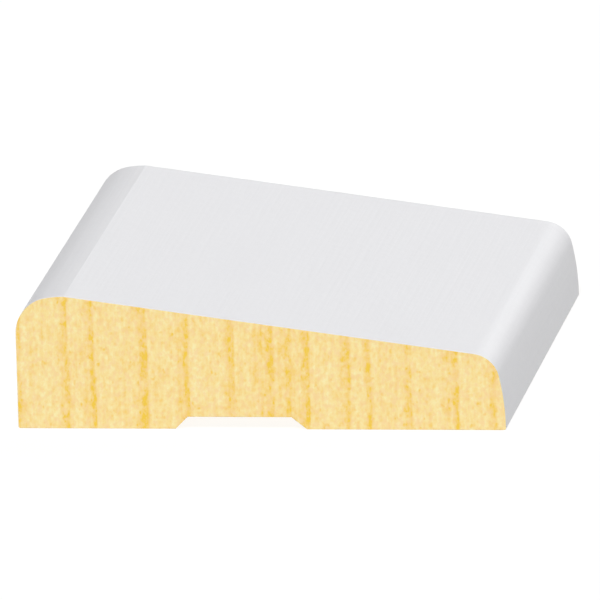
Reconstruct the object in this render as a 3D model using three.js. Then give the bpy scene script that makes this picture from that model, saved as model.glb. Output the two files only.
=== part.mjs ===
// A short length of bevel casing: the flat, tapered trim that frames a door or window.
// One solid stick of primed pine, thick at the wall edge and thin at the door edge, with a shallow
// relief milled in its back, and both ends cut square. It lies on its back with its face up.
// Millimetres, +Z up. X runs across the width, from the thick edge to the thin one, and Y along the
// length. The origin is at the middle of the underside.
import * as THREE from "three";

// Stock sizes: 11/16 x 2 1/2 inches, tapering to 3/8 inch, in a 3 inch length
const INCH = 25.4;
const LENGTH = 3 * INCH;
const WIDTH = 2.5 * INCH;
const THICKNESS = (11 / 16) * INCH;
const THIN_HEIGHT = (3 / 8) * INCH; // the bevel's height where it would meet the thin edge

// Thick edge: a tight round, then a shallow crown, level where the bevel breaks away from it
const THICK_ROUND = (3 / 16) * INCH;
const CROWN_ROUND = 14;
const CROWN_LEAN = THREE.MathUtils.degToRad(10); // how far it tips to the thick edge where it starts

// Thin edge: a tight nose that runs into a long shallow bow
const NOSE_ROUND = 3.8;
const BOW_ROUND = 32;

// Relief in the back, so that the casing sits tight over an uneven wall
const RELIEF_DEPTH = INCH / 16;
const RELIEF_START = 20.5; // from the thick edge
const RELIEF_END = 37.6;
const RELIEF_RAMP_THICK = 1.6; // how far each slanted wall runs
const RELIEF_RAMP_THIN = 2.0;

const ARRIS = 0.25; // the rounding of the two long corners at the back
const ARC_STEPS = 10; // each arc takes twice as many

const QUARTER_TURN = Math.PI / 2;

// Where the nose's circle lies: it touches the bevel plane from below, and the bow from inside.
function placeNose(bevelStart, bevelFall, bowCentre) {
  const along = new THREE.Vector2(Math.cos(bevelFall), -Math.sin(bevelFall));
  const inward = new THREE.Vector2(-Math.sin(bevelFall), -Math.cos(bevelFall));
  // The centre runs on a line parallel to the bevel, and is BOW_ROUND - NOSE_ROUND from the bow's centre
  const lineStart = bevelStart.clone().addScaledVector(inward, NOSE_ROUND);
  const fromBow = lineStart.clone().sub(bowCentre);
  const reach = BOW_ROUND - NOSE_ROUND;
  const halfB = fromBow.dot(along);
  const travel = -halfB + Math.sqrt(halfB * halfB - fromBow.lengthSq() + reach * reach);
  return lineStart.addScaledVector(along, travel);
}

// The profile in the X-Z plane, drawn anticlockwise from the thick edge's back corner.
function casingProfile() {
  // The thick edge's round touches the crown's circle from inside
  const reach = CROWN_ROUND - THICK_ROUND;
  const crown = new THREE.Vector2(THICK_ROUND + reach * Math.sin(CROWN_LEAN), THICKNESS - CROWN_ROUND);
  const round = new THREE.Vector2(THICK_ROUND, crown.y + reach * Math.cos(CROWN_LEAN));
  const crownStart = QUARTER_TURN + CROWN_LEAN;
  const bevelStart = new THREE.Vector2(crown.x, THICKNESS);
  const bevelFall = Math.atan2(THICKNESS - THIN_HEIGHT, WIDTH - bevelStart.x);
  const bevelNormal = QUARTER_TURN - bevelFall;
  const bowCentre = new THREE.Vector2(WIDTH - BOW_ROUND, ARRIS);
  const nose = placeNose(bevelStart, bevelFall, bowCentre);
  const bowEnd = Math.atan2(nose.y - bowCentre.y, nose.x - bowCentre.x);

  const profile = new THREE.Shape();
  profile.moveTo(ARRIS, 0);
  profile.lineTo(RELIEF_START, 0);
  profile.lineTo(RELIEF_START + RELIEF_RAMP_THICK, RELIEF_DEPTH);
  profile.lineTo(RELIEF_END - RELIEF_RAMP_THIN, RELIEF_DEPTH);
  profile.lineTo(RELIEF_END, 0);
  profile.lineTo(WIDTH - ARRIS, 0);
  profile.absarc(WIDTH - ARRIS, ARRIS, ARRIS, -QUARTER_TURN, 0);
  profile.absarc(bowCentre.x, bowCentre.y, BOW_ROUND, 0, bowEnd);
  profile.absarc(nose.x, nose.y, NOSE_ROUND, bowEnd, bevelNormal);
  profile.absarc(crown.x, crown.y, CROWN_ROUND, QUARTER_TURN, crownStart);
  profile.absarc(round.x, round.y, THICK_ROUND, crownStart, Math.PI);
  profile.lineTo(0, ARRIS);
  profile.absarc(ARRIS, ARRIS, ARRIS, Math.PI, Math.PI + QUARTER_TURN);
  return profile;
}

// The profile run along the length, turned to stand in X-Z, and centred over the origin.
function casingBody() {
  const geometry = new THREE.ExtrudeGeometry(casingProfile(), {
    depth: LENGTH,
    bevelEnabled: false,
    curveSegments: ARC_STEPS,
  });
  geometry.rotateX(QUARTER_TURN);
  geometry.translate(-WIDTH / 2, LENGTH / 2, 0);
  return geometry;
}

// White primer over pine
const primedPine = new THREE.MeshStandardMaterial({
  color: new THREE.Color().setRGB(0.8, 0.8, 0.82),
  roughness: 0.55,
  metalness: 0,
});

const casing = new THREE.Mesh(casingBody(), primedPine);
casing.name = "casing";

const part = new THREE.Group();
part.add(casing);

export default part;
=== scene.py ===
# A short length of bevel casing, lying face up on a pale studio floor: white-primed pine with bare
# end grain on both cuts. Metres, +Z up. X runs across the width, from the thick edge to the thin
# one, and Y along the length, away from the camera.
import math

import bmesh
import bpy
from mathutils import Matrix, Vector


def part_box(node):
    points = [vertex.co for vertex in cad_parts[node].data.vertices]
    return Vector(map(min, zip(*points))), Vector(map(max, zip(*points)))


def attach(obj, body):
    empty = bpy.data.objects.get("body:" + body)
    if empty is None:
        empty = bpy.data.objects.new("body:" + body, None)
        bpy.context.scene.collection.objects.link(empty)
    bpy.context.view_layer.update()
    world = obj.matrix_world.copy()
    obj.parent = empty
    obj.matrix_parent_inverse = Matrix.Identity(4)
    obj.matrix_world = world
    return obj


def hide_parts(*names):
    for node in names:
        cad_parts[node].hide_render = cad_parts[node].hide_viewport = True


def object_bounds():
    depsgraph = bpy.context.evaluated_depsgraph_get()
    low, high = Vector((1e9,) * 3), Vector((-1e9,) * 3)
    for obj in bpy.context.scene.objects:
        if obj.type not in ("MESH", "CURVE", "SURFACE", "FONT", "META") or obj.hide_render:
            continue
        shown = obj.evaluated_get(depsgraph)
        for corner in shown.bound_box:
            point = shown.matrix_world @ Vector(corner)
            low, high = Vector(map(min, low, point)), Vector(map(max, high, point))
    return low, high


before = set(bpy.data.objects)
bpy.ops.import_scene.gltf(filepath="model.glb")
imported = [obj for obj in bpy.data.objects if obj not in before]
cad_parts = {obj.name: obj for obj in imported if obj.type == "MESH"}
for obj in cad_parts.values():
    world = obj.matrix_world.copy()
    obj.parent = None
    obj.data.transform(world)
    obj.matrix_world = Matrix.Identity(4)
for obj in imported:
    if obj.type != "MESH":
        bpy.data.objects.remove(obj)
cadLow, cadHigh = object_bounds()
print("frame loaded")

mm = 0.001
inch = 25.4 * mm
quarterTurn = math.pi / 2
white = (1, 1, 1, 1)


def lookFrom(azimuth, elevation):
    # the way from the casing out to an azimuth and elevation, in degrees
    turn, rise = math.radians(azimuth), math.radians(elevation)
    return Vector((math.sin(turn) * math.cos(rise), -math.cos(turn) * math.cos(rise), math.sin(rise)))


# Camera, a long way off through a very long lens, so that the long edges stay nearly parallel
cameraSetup = {
    "lens": 1500.0,  # mm, on a 36 mm sensor
    "sensor": 36.0,
    "clipNear": 10 * mm,
    "clipFar": 20.0,
    "distance": 3258 * mm,
    "azimuth": 8.07,  # degrees, round towards the thin edge
    "elevation": 13.05,
    "roll": -1.64,
    "aimRight": 0.04 * mm,  # where the middle of the picture falls, from the casing's middle
    "aimUp": -0.51 * mm,
}


def makeCamera(setup):
    roll = math.radians(setup["roll"])
    back = lookFrom(setup["azimuth"], setup["elevation"])
    level = lookFrom(setup["azimuth"] + 90, 0)
    upright = back.cross(level)
    right = level * math.cos(roll) + upright * math.sin(roll)
    up = upright * math.cos(roll) - level * math.sin(roll)
    place = (cadLow + cadHigh) / 2 + back * setup["distance"]
    place += right * setup["aimRight"] + up * setup["aimUp"]
    data = bpy.data.cameras.new("camera")
    data.lens = setup["lens"]
    data.sensor_width = setup["sensor"]
    data.clip_start = setup["clipNear"]
    data.clip_end = setup["clipFar"]
    camera = bpy.data.objects.new("camera", data)
    camera.matrix_world = Matrix.Translation(place) @ Matrix((right, up, back)).transposed().to_4x4()
    bpy.context.scene.collection.objects.link(camera)
    bpy.context.scene.camera = camera


makeCamera(cameraSetup)
print("camera made")


# Helpers for shader and geometry node trees
def put(tree, kind, feeds=(), **settings):
    # one node: its settings, then what feeds its inputs, by name or in order
    node = tree.nodes.new(kind)
    for name, value in settings.items():
        setattr(node, name, value)
    for key, value in feeds.items() if isinstance(feeds, dict) else enumerate(feeds):
        if isinstance(value, bpy.types.NodeSocket):
            tree.links.new(value, node.inputs[key])
        else:
            node.inputs[key].default_value = value
    return node


def sums(tree, operation, *values):
    return put(tree, "ShaderNodeMath", values, operation=operation).outputs[0]


def vectors(tree, operation, *values):
    return put(tree, "ShaderNodeVectorMath", values, operation=operation).outputs[0]


def easedStep(tree, value, low, high, start=0.0, end=1.0):
    feeds = (value, low, high, start, end)
    return put(tree, "ShaderNodeMapRange", feeds, interpolation_type="SMOOTHSTEP").outputs[0]


def noise(tree, place, size, detail=2.0):
    # size is how far the pattern runs along X, Y and Z before it changes
    feeds = {"Vector": vectors(tree, "DIVIDE", place, size), "Scale": 1.0, "Detail": detail}
    return put(tree, "ShaderNodeTexNoise", feeds).outputs[0]


def mottle(tree, place, look):
    # a noise that sets in between two of its levels, from its weakest to its strongest
    cloud = noise(tree, place, look["size"], look["detail"])
    return easedStep(tree, cloud, *look["setsIn"], *look["strength"])


def mixColours(tree, share, one, other):
    return put(tree, "ShaderNodeMix", {0: share, 6: one, 7: other}, data_type="RGBA").outputs[2]


def colourRamp(tree, value, stops):
    node = put(tree, "ShaderNodeValToRGB", (value,))
    for _ in stops[2:]:
        node.color_ramp.elements.new(0.5)
    for element, (place, shade) in zip(node.color_ramp.elements, stops):
        element.position = place
        element.color = (*shade, 1)
    return node.outputs[0]


# The timber: straight-grained pine, its growth rings standing upright across the width. Lengths are
# in millimetres, and a pattern's size is how far it runs along X, Y and Z.
pine = {
    # the darkest place of each line, from the thick edge; how far it fades in; how dark
    "rings": [
        (0.5, 1.2, 0.85),
        (6.7, 1.7, 0.75),
        (9.1, 1.0, 0.25),
        (10.1, 1.1, 1.00),
        (14.1, 0.9, 0.20),
        (16.9, 1.9, 1.00),
        (21.3, 0.8, 0.45),
        (22.3, 1.3, 1.00),
        (28.2, 1.9, 0.85),
        (31.1, 0.7, 0.35),
        (31.9, 0.8, 0.55),
        (33.3, 1.6, 0.95),
        (34.4, 1.0, 0.35),
        (35.6, 1.2, 0.45),
        (36.2, 3.0, 0.30),
        (38.0, 1.7, 1.00),
        (42.4, 0.8, 0.35),
        (43.3, 1.4, 0.75),
        (46.0, 1.1, 0.85),
        (49.9, 1.2, 0.20),
        (51.3, 1.7, 0.85),
        (53.8, 1.2, 0.30),
        (56.3, 1.0, 0.50),
        (57.4, 1.2, 1.00),
        (62.3, 1.5, 0.80),
    ],
    "ringEnd": 0.45,  # how sharply each line stops
    "ringBite": 1.25,  # above 1 keeps the dark to the line's sharp side
    "stray": 0.42,  # how far a ring wanders sideways
    "strayShare": 0.4,  # how much of that its quick wavering adds
    "slowStray": (25, 250, 10),
    "quickStray": (2.5, 60, 2.4),
    # where the rings are fainter, and where darker
    "ringPatches": {"size": (4, 120, 3.5), "detail": 2.0, "setsIn": (0.3, 0.7), "strength": (0.7, 1.2)},
    # what darkens the wood: how much, and the pattern's size, from short flecks to long streaks
    "fibres": [
        (1.32, (0.50, 7, 0.66)),
        (0.45, (1.6, 30, 3.6)),
        (0.60, (0.40, 60, 5)),
    ],
    "ground": -0.81,  # what brings the fibres back to the pale tones
    "specks": {"size": (0.7, 9, 1.0), "detail": 1.0, "setsIn": (0.64, 0.78), "strength": (0.0, 0.40)},
    "ringDark": 0.47,
    "resin": {"size": (0.5, 5, 1.1), "detail": 2.0, "setsIn": (0.48, 0.70), "strength": (0.0, 0.34)},
    "resinRings": (0.3, 0.8),  # how dark a ring is where the resin sets in, and where it is all there
    # the wood's colour from the palest early wood to the resin in the darkest lines
    "tones": [
        (0.00, (0.836, 0.730, 0.388)),
        (0.25, (0.830, 0.676, 0.320)),
        (0.45, (0.822, 0.642, 0.278)),
        (0.62, (0.818, 0.598, 0.232)),
        (0.78, (0.810, 0.566, 0.165)),
        (1.00, (0.788, 0.522, 0.062)),
    ],
    "blushTone": (0.816, 0.566, 0.286, 1),  # the pinkish mottles
    "blush": {"size": (0.48, 6, 0.66), "detail": 2.0, "setsIn": (0.42, 0.72), "strength": (0.0, 0.6)},
}


def growthRings(tree, place):
    # 0 in the pale early wood, rising to 1 at the sharp side of the strongest lines
    slow = noise(tree, place, pine["slowStray"])
    quick = noise(tree, place, pine["quickStray"])
    wander = sums(tree, "MULTIPLY_ADD", slow, 2 * pine["stray"], -pine["stray"])
    wander = sums(tree, "MULTIPLY_ADD", quick, pine["strayShare"] * pine["stray"], wander)
    x = put(tree, "ShaderNodeSeparateXYZ", (place,)).outputs[0]
    across = sums(tree, "ADD", x, wander)
    fromThick = sums(tree, "SUBTRACT", across, cadLow.x / mm)
    total = 0.0
    for edge, fade, dark in pine["rings"]:
        rise = easedStep(tree, fromThick, edge - fade, edge)
        rise = sums(tree, "POWER", rise, pine["ringBite"])
        fall = easedStep(tree, fromThick, edge, edge + pine["ringEnd"])
        line = sums(tree, "SUBTRACT", rise, fall)
        total = sums(tree, "MULTIPLY_ADD", line, dark, total)
    return total


def timber(tree, place):
    # the wood's colour, and a height for its bump
    rings = sums(tree, "MULTIPLY", growthRings(tree, place), mottle(tree, place, pine["ringPatches"]))
    dark = pine["ground"]
    for share, size in pine["fibres"]:
        dark = sums(tree, "MULTIPLY_ADD", noise(tree, place, size), share, dark)
    dark = sums(tree, "ADD", mottle(tree, place, pine["specks"]), dark)
    dark = sums(tree, "MULTIPLY_ADD", rings, pine["ringDark"], dark)
    onRings = easedStep(tree, rings, *pine["resinRings"])
    dark = sums(tree, "MULTIPLY_ADD", mottle(tree, place, pine["resin"]), onRings, dark)
    tone = colourRamp(tree, dark, pine["tones"])
    return mixColours(tree, mottle(tree, place, pine["blush"]), tone, pine["blushTone"]), dark


def newMaterial(name, look):
    # a material, what builds it, and Object coordinates in millimetres
    material = bpy.data.materials.new(name)
    material.use_nodes = True
    tree = material.node_tree
    shader = tree.nodes["Principled BSDF"]
    shader.inputs["Roughness"].default_value = look["rough"]
    shader.inputs["Specular IOR Level"].default_value = look["specular"]
    place = put(tree, "ShaderNodeTexCoord").outputs["Object"]
    return material, tree, shader, vectors(tree, "DIVIDE", place, (mm, mm, mm))


def roughen(tree, shader, height, depth):
    # depth is the real height of the bumps
    bump = put(tree, "ShaderNodeBump", {"Height": height, "Distance": depth, "Strength": 1.0})
    tree.links.new(bump.outputs[0], shader.inputs["Normal"])


primer = {
    "light": (0.777, 0.777, 0.797, 1),
    "dull": (0.763, 0.763, 0.783, 1),
    "cloud": (9, 40, 9),  # how far its patterns run along X, Y and Z, in mm
    "peel": (0.9, 1.6, 0.9),
    "raisedGrain": (0.5, 30, 0.5),
    "grainDetail": 3.0,
    "grainShare": 1.2,  # how high the raised grain is beside the peel
    "bump": 0.02 * mm,
    "rough": 0.42,  # where the peel is low
    "roughHigh": 0.48,
    "peelLevels": (0.3, 0.7),  # the low and the high of the peel
    "specular": 0.4,
}


def primerMaterial():
    material, tree, shader, place = newMaterial("whitePrimer", primer)
    cloud = noise(tree, place, primer["cloud"])
    tone = mixColours(tree, cloud, primer["light"], primer["dull"])
    tree.links.new(tone, shader.inputs["Base Color"])
    peel = noise(tree, place, primer["peel"])
    raised = noise(tree, place, primer["raisedGrain"], primer["grainDetail"])
    height = sums(tree, "MULTIPLY_ADD", raised, primer["grainShare"], peel)
    roughen(tree, shader, height, primer["bump"])
    sheen = easedStep(tree, peel, *primer["peelLevels"], primer["rough"], primer["roughHigh"])
    tree.links.new(sheen, shader.inputs["Roughness"])
    return material


endGrain = {
    "bump": 0.02 * mm,
    "rough": 0.8,
    "specular": 0.15,
}


def endGrainMaterial():
    material, tree, shader, place = newMaterial("endGrain", endGrain)
    tone, height = timber(tree, place)
    tree.links.new(tone, shader.inputs["Base Color"])
    roughen(tree, shader, height, endGrain["bump"])
    return material


bareBack = {
    # how far in from the side the primer is whole, and where it is gone, in mm, before the ragged
    # edge carries both further in
    "sprayFull": -2.8,
    "sprayGone": -0.8,
    "ragged": 5.0,  # the furthest that it carries them
    "raggedSize": (1.5, 4, 2),
    "raggedDetail": 4.0,
    "spray": {"size": (0.2, 0.2, 0.2), "detail": 2.0, "setsIn": (0.45, 0.6), "strength": (0.55, 1.0)},
    "planerPitch": 1.7,  # mm
    "planerShare": 0.25,  # how high the planer's waves are beside the grain
    "bump": 0.015 * mm,
    "rough": 0.7,
    "specular": 0.2,
}


def bareBackMaterial():
    # bare planed wood, with a ragged edge of overspray along both sides
    material, tree, shader, place = newMaterial("bareBack", bareBack)
    wood, height = timber(tree, place)
    x, y, _ = put(tree, "ShaderNodeSeparateXYZ", (place,)).outputs
    fromSide = sums(tree, "SUBTRACT", cadHigh.x / mm, sums(tree, "ABSOLUTE", x))
    ragged = noise(tree, place, bareBack["raggedSize"], bareBack["raggedDetail"])
    fromEdge = sums(tree, "MULTIPLY_ADD", ragged, -bareBack["ragged"], fromSide)
    cover = easedStep(tree, fromEdge, bareBack["sprayFull"], bareBack["sprayGone"], 1.0, 0.0)
    spray = sums(tree, "MULTIPLY", cover, mottle(tree, place, bareBack["spray"]))
    tone = mixColours(tree, spray, wood, primer["dull"])
    tree.links.new(tone, shader.inputs["Base Color"])
    wave = sums(tree, "SINE", sums(tree, "MULTIPLY", y, 2 * math.pi / bareBack["planerPitch"]))
    height = sums(tree, "MULTIPLY_ADD", wave, bareBack["planerShare"], height)
    roughen(tree, shader, height, bareBack["bump"])
    return material


# The casing's own sizes, on the frame's width, thickness and length
casing = {
    "thickRound": 3 / 16 * inch,
    "crownRound": 14 * mm,
    "crownLean": 10,  # degrees; how far the crown tips to the thick edge where it starts
    "thinHeight": 3 / 8 * inch,  # the bevel's height where it would meet the thin edge
    "noseRound": 3.8 * mm,
    "bowRound": 32 * mm,
    "reliefDepth": inch / 16,
    "reliefStart": 20.5 * mm,  # from the thick edge
    "reliefEnd": 37.6 * mm,
    "rampThick": 1.6 * mm,
    "rampThin": 2.0 * mm,
    "arris": 0.25 * mm,
    "cutEase": 0.08 * mm,  # how far the saw-cut edges are rubbed off
    "ringRelief": 0.03 * mm,  # how far the soft early wood sinks below the rings
    "creaseAngle": 7,  # degrees; the bevel breaks away from the crown by a little more
    "columns": 230,  # steps across the face and the back
    "rows": 40,  # steps up each edge
    "bays": 24,  # steps along the length
    "fewestSteps": 3,  # on each line and arc of the profile
    "fadeCells": 2,  # how many cells in from a cut's rim the rings have their whole relief
    "weld": 0.001 * mm,  # how near two points are one
    "cutFacing": 0.7,  # the endwise part of its normal above which a face is end grain
    "backFacing": 0.5,  # the upright part of its normal above which a low face is the bare back
    "backReach": 1.1,  # how high a face still counts as low, in relief depths
}


def line(start, end):
    start, end = Vector(start), Vector(end)
    return (end - start).length, lambda share: start.lerp(end, share)


def arc(centre, radius, first, last):
    def trace(share):
        angle = first + (last - first) * share
        return Vector(centre) + radius * Vector((math.cos(angle), math.sin(angle)))

    return radius * abs(last - first), trace


def chain(pieces, steps):
    # points along lines and arcs, about evenly spaced, with one at every joint
    whole = sum(length for length, _ in pieces)
    counts = [max(casing["fewestSteps"], round(steps * length / whole)) for length, _ in pieces]
    counts[counts.index(max(counts))] += steps - sum(counts)
    points = [trace(i / count) for (_, trace), count in zip(pieces, counts) for i in range(count)]
    return points + [pieces[-1][1](1)]


def placeNose(bevelStart, fall, bowCentre):
    # the nose's circle touches the bevel from below and the bow from inside
    along = Vector((math.cos(fall), -math.sin(fall)))
    start = bevelStart + casing["noseRound"] * Vector((-math.sin(fall), -math.cos(fall)))
    reach = casing["bowRound"] - casing["noseRound"]
    gap = start - bowCentre
    halfB = gap.dot(along)
    return start + along * (math.sqrt(halfB ** 2 - gap.length_squared + reach ** 2) - halfB)


def profileSides(width, thickness):
    # the four sides of the profile, in X and Z from the thick edge's back corner
    c = casing
    tiny, big = c["arris"], c["thickRound"]
    lean = math.radians(c["crownLean"])
    reach = c["crownRound"] - big  # the thick edge's round touches the crown's circle from inside
    crown = Vector((big + reach * math.sin(lean), thickness - c["crownRound"]))
    roundCentre = (big, crown.y + reach * math.cos(lean))
    bevelStart = Vector((crown.x, thickness))
    fall = math.atan2(thickness - c["thinHeight"], width - bevelStart.x)
    bevelNormal = quarterTurn - fall
    bowCentre = Vector((width - c["bowRound"], tiny))
    nose = placeNose(bevelStart, fall, bowCentre)
    bowEnd = math.atan2(nose.y - bowCentre.y, nose.x - bowCentre.x)
    noseMiddle = (bowEnd + bevelNormal) / 2
    bevelEnd = nose + c["noseRound"] * Vector((math.cos(bevelNormal), math.sin(bevelNormal)))
    roof = c["reliefStart"] + c["rampThick"], c["reliefDepth"]
    roofEnd = c["reliefEnd"] - c["rampThin"], c["reliefDepth"]
    back = chain(
        [
            line((tiny, 0), (c["reliefStart"], 0)),
            line((c["reliefStart"], 0), roof),
            line(roof, roofEnd),
            line(roofEnd, (c["reliefEnd"], 0)),
            line((c["reliefEnd"], 0), (width - tiny, 0)),
        ],
        c["columns"],
    )
    face = chain(
        [
            arc(roundCentre, big, 1.5 * quarterTurn, quarterTurn + lean),
            arc(crown, c["crownRound"], quarterTurn + lean, quarterTurn),
            line(bevelStart, bevelEnd),
            arc(nose, c["noseRound"], bevelNormal, noseMiddle),
        ],
        c["columns"],
    )
    thick = chain(
        [
            arc((tiny, tiny), tiny, 3 * quarterTurn, 2 * quarterTurn),
            line((0, tiny), (0, roundCentre[1])),
            arc(roundCentre, big, 2 * quarterTurn, 1.5 * quarterTurn),
        ],
        c["rows"],
    )
    thin = chain(
        [
            arc((width - tiny, tiny), tiny, -quarterTurn, 0),
            arc(bowCentre, c["bowRound"], 0, bowEnd),
            arc(nose, c["noseRound"], bowEnd, noseMiddle),
        ],
        c["rows"],
    )
    return back, face, thick, thin


def outwardArrows(points, columns, rows):
    # for each point on the rim of the sheet, the way out of the profile
    across = columns + 1
    rim = list(range(columns))
    rim += [j * across + columns for j in range(rows)]
    rim += [rows * across + i for i in range(columns, 0, -1)]
    rim += [j * across for j in range(rows, 0, -1)]
    arrows = [Vector() for _ in points]
    for place, index in enumerate(rim):
        before, after = points[rim[place - 1]], points[rim[(place + 1) % len(rim)]]
        along = (after - before).normalized()
        arrows[index] = Vector((along.z, 0, -along.x))
    return arrows


def profileSheet(width, thickness):
    # one cross-section as a sheet of quads, blended between its four sides
    back, face, thick, thin = profileSides(width, thickness)
    columns, rows = casing["columns"], casing["rows"]
    points = []
    inner = []
    for j in range(rows + 1):
        v = j / rows
        for i in range(columns + 1):
            u = i / columns
            point = back[i] * (1 - v) + face[i] * v + thick[j] * (1 - u) + thin[j] * u
            point -= (back[0] * (1 - u) + back[-1] * u) * (1 - v)
            point -= (face[0] * (1 - u) + face[-1] * u) * v
            points.append(Vector((point.x - width / 2, 0, point.y)))
            inner.append(min(1, min(i, columns - i, j, rows - j) / casing["fadeCells"]))
    across = columns + 1
    faces = [
        (j * across + i, j * across + i + 1, (j + 1) * across + i + 1, (j + 1) * across + i)
        for j in range(rows)
        for i in range(columns)
    ]
    mesh = bpy.data.meshes.new("profileSheet")
    mesh.from_pydata(points, [], faces)
    outward = [value for arrow in outwardArrows(points, columns, rows) for value in arrow]
    mesh.attributes.new("outward", "FLOAT_VECTOR", "POINT").data.foreach_set("vector", outward)
    mesh.attributes.new("inner", "FLOAT", "POINT").data.foreach_set("value", inner)
    return mesh


# Geometry nodes that run the profile sheet out to a stick with two cut ends
def shove(tree, shape, offset, selection=True):
    feeds = {"Geometry": shape, "Selection": selection, "Offset": offset}
    return put(tree, "GeometryNodeSetPosition", feeds).outputs[0]


def alongY(tree, distance):
    return put(tree, "ShaderNodeCombineXYZ", {"Y": distance}).outputs[0]


def pullRim(tree, shape, offset):
    # draws a new wall out from the open rim
    faces = put(tree, "GeometryNodeInputMeshEdgeNeighbors").outputs[0]
    rim = put(tree, "FunctionNodeCompare", {2: faces, 3: 1}, data_type="INT", operation="EQUAL")
    feeds = {"Mesh": shape, "Selection": rim.outputs[0], "Offset Scale": 0.0}
    wall = put(tree, "GeometryNodeExtrudeMesh", feeds, mode="EDGES")
    return shove(tree, wall.outputs["Mesh"], offset, wall.outputs["Top"])


def field(tree, name, kind):
    node = put(tree, "GeometryNodeInputNamedAttribute", {"Name": name}, data_type=kind)
    return next(socket for socket in node.outputs if socket.enabled)


def dressFaces(tree, shape, given):
    # primer all over, then bare wood on the back and end grain on the cuts
    facing = put(tree, "GeometryNodeInputNormal").outputs[0]
    facing = vectors(tree, "ABSOLUTE", facing)
    _, endwise, upright = put(tree, "ShaderNodeSeparateXYZ", (facing,)).outputs
    place = put(tree, "GeometryNodeInputPosition").outputs[0]
    height = put(tree, "ShaderNodeSeparateXYZ", (place,)).outputs[2]
    onCut = sums(tree, "GREATER_THAN", endwise, casing["cutFacing"])
    level = sums(tree, "GREATER_THAN", upright, casing["backFacing"])
    onBack = sums(tree, "MULTIPLY", level, sums(tree, "LESS_THAN", height, given["Back Height"]))
    for part, name in ((True, "Primer"), (onBack, "Bare Back"), (onCut, "End Grain")):
        feeds = {"Geometry": shape, "Selection": part, "Material": given[name]}
        shape = put(tree, "GeometryNodeSetMaterial", feeds).outputs[0]
    return shape


def runTree():
    tree = bpy.data.node_groups.new("casingRun", "GeometryNodeTree")
    inputs = {
        "Sheet": "Geometry",
        "Length": "Float",
        "Cut Ease": "Float",
        "Ring Relief": "Float",
        "Back Height": "Float",
        "Bays": "Int",
        "Primer": "Material",
        "End Grain": "Material",
        "Bare Back": "Material",
    }
    for name, kind in inputs.items():
        tree.interface.new_socket(name, in_out="INPUT", socket_type="NodeSocket" + kind)
    tree.interface.new_socket("Casing", in_out="OUTPUT", socket_type="NodeSocketGeometry")
    given = tree.nodes.new("NodeGroupInput").outputs
    outward = field(tree, "outward", "FLOAT_VECTOR")
    inner = field(tree, "inner", "FLOAT")

    def easing(inwards, along):
        # part of the rounding at a cut, in shares of its radius
        feeds = {0: outward, "Scale": sums(tree, "MULTIPLY", given["Cut Ease"], -inwards)}
        sideways = put(tree, "ShaderNodeVectorMath", feeds, operation="SCALE").outputs[0]
        forwards = alongY(tree, sums(tree, "MULTIPLY", given["Cut Ease"], along))
        return vectors(tree, "ADD", sideways, forwards)

    def cutFace(way):
        # way is -1 for the near cut and 1 for the far one
        half = sums(tree, "MULTIPLY", given["Length"], way / 2)
        placed = shove(tree, given["Sheet"], alongY(tree, half))
        eased = shove(tree, placed, easing(1, 0))
        place = put(tree, "GeometryNodeInputPosition").outputs[0]
        rings = growthRings(tree, vectors(tree, "DIVIDE", place, (mm, mm, mm)))
        sunk = sums(tree, "MULTIPLY", sums(tree, "SUBTRACT", 1.0, rings), inner)
        sunk = sums(tree, "MULTIPLY", sunk, given["Ring Relief"])
        return shove(tree, eased, alongY(tree, sums(tree, "MULTIPLY", sunk, -way)))

    middle = math.sqrt(0.5)  # the sine of half the easing's quarter turn
    stick = cutFace(-1)
    stick = pullRim(tree, stick, easing(-middle, 1 - middle))
    stick = pullRim(tree, stick, easing(middle - 1, middle))
    twice = sums(tree, "MULTIPLY", given["Cut Ease"], 2.0)
    bay = sums(tree, "DIVIDE", sums(tree, "SUBTRACT", given["Length"], twice), given["Bays"])
    first = put(tree, "GeometryNodeRepeatInput", {"Iterations": given["Bays"]})
    last = tree.nodes.new("GeometryNodeRepeatOutput")
    first.pair_with_output(last)
    tree.links.new(stick, first.inputs["Geometry"])
    tree.links.new(pullRim(tree, first.outputs["Geometry"], alongY(tree, bay)), last.inputs["Geometry"])
    stick = pullRim(tree, last.outputs["Geometry"], easing(1 - middle, middle))
    stick = pullRim(tree, stick, easing(middle, 1 - middle))
    farFace = put(tree, "GeometryNodeFlipFaces", (cutFace(1),)).outputs[0]
    joined = tree.nodes.new("GeometryNodeJoinGeometry")
    tree.links.new(stick, joined.inputs[0])
    tree.links.new(farFace, joined.inputs[0])
    feeds = {"Geometry": joined.outputs[0], "Distance": casing["weld"]}
    whole = put(tree, "GeometryNodeMergeByDistance", feeds).outputs[0]
    whole = put(tree, "GeometryNodeRealizeInstances", (whole,)).outputs[0]
    out = tree.nodes.new("NodeGroupOutput")
    tree.links.new(dressFaces(tree, whole, given), out.inputs[0])
    return tree


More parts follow.
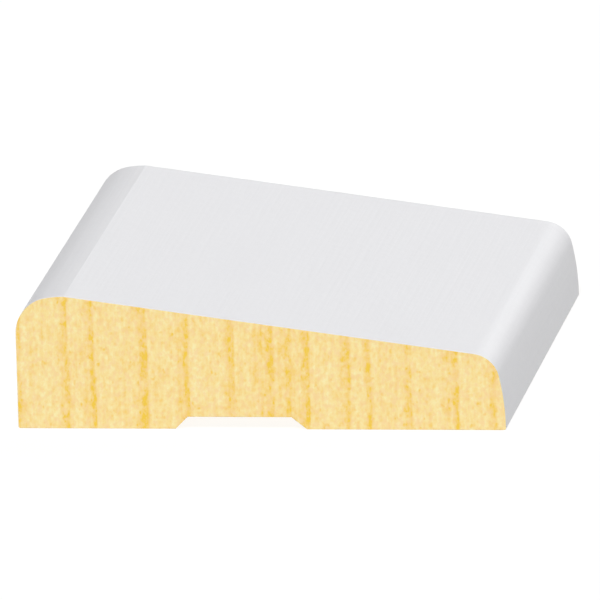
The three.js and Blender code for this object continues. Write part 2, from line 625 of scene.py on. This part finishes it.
def makeCasing():
    low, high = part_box("casing")
    size = high - low
    stick = bpy.data.objects.new("casingStick", profileSheet(size.x, size.z))
    bpy.context.scene.collection.objects.link(stick)
    run = stick.modifiers.new("run", "NODES")
    run.node_group = runTree()
    values = {
        "Length": size.y,
        "Cut Ease": casing["cutEase"],
        "Ring Relief": casing["ringRelief"],
        "Back Height": casing["backReach"] * casing["reliefDepth"],
        "Bays": casing["bays"],
        "Primer": primerMaterial(),
        "End Grain": endGrainMaterial(),
        "Bare Back": bareBackMaterial(),
    }
    for item in run.node_group.interface.items_tree:
        if item.name in values:
            run[item.identifier] = values[item.name]
    finished = stick.evaluated_get(bpy.context.evaluated_depsgraph_get())
    mesh = bpy.data.meshes.new_from_object(finished)
    stick.modifiers.clear()
    stick.data = mesh
    work = bmesh.new()
    work.from_mesh(mesh)
    bmesh.ops.recalc_face_normals(work, faces=work.faces)
    work.to_mesh(mesh)
    work.free()
    mesh.shade_smooth()
    mesh.set_sharp_from_angle(angle=math.radians(casing["creaseAngle"]))
    for name in ("outward", "inner"):
        mesh.attributes.remove(mesh.attributes[name])
    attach(stick, "root")
    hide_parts("casing")
    return stick


casingStick = makeCasing()
print("casing made:", len(casingStick.data.polygons), "faces")


# Pale seamless floor and soft studio lights
studio = {
    "floorHalf": 6.0,
    "floorDrop": 0.02 * mm,  # keeps the floor clear of the back
    "floorTone": (0.15, 0.15, 0.15, 1),
    "floorGlow": 0.87,  # a lit table, so that the shadows stay pale
    "skyGlow": 0.05,  # how much light the sky gives; the camera sees it white
    # azimuth and elevation of where each light stands, how wide it looks, and its strength
    "lights": {
        "keyLight": (0, 55, 20, 0.90),
        "frontLight": (352, 12, 20, 0.09),
        "rearRightLight": (160, 11, 24, 0.07),
        "rearLight": (167, 36, 38, 0.33),
    },
}


def makeFloor():
    half = studio["floorHalf"]
    drop = -studio["floorDrop"]
    corners = [(-half, -half, drop), (half, -half, drop), (half, half, drop), (-half, half, drop)]
    mesh = bpy.data.meshes.new("floor")
    mesh.from_pydata(corners, [], [(0, 1, 2, 3)])
    material = bpy.data.materials.new("paleFloor")
    material.use_nodes = True
    shader = material.node_tree.nodes["Principled BSDF"]
    shader.inputs["Base Color"].default_value = studio["floorTone"]
    shader.inputs["Roughness"].default_value = 1.0
    shader.inputs["Specular IOR Level"].default_value = 0.0
    shader.inputs["Emission Color"].default_value = white
    shader.inputs["Emission Strength"].default_value = studio["floorGlow"]
    mesh.materials.append(material)
    floor = bpy.data.objects.new("floor", mesh)
    bpy.context.scene.collection.objects.link(floor)


def makeLight(name, azimuth, elevation, width, strength):
    data = bpy.data.lights.new(name, "SUN")
    data.energy = strength * math.pi  # at strength 1 a white face square to it is fully white
    data.angle = math.radians(width)
    light = bpy.data.objects.new(name, data)
    light.rotation_euler = lookFrom(azimuth, elevation).to_track_quat("Z", "Y").to_euler()
    bpy.context.scene.collection.objects.link(light)


def makeSky():
    world = bpy.data.worlds.new("studio")
    bpy.context.scene.world = world
    world.use_nodes = True
    tree = world.node_tree
    sky = tree.nodes["Background"]
    sky.inputs["Color"].default_value = white
    seen = put(tree, "ShaderNodeLightPath").outputs["Is Camera Ray"]
    strength = put(tree, "ShaderNodeMapRange", (seen, 0.0, 1.0, studio["skyGlow"], 1.0)).outputs[0]
    tree.links.new(strength, sky.inputs["Strength"])


makeFloor()
for name, numbers in studio["lights"].items():
    makeLight(name, *numbers)
makeSky()
bpy.context.scene.view_settings.view_transform = "Standard"
print("studio made")
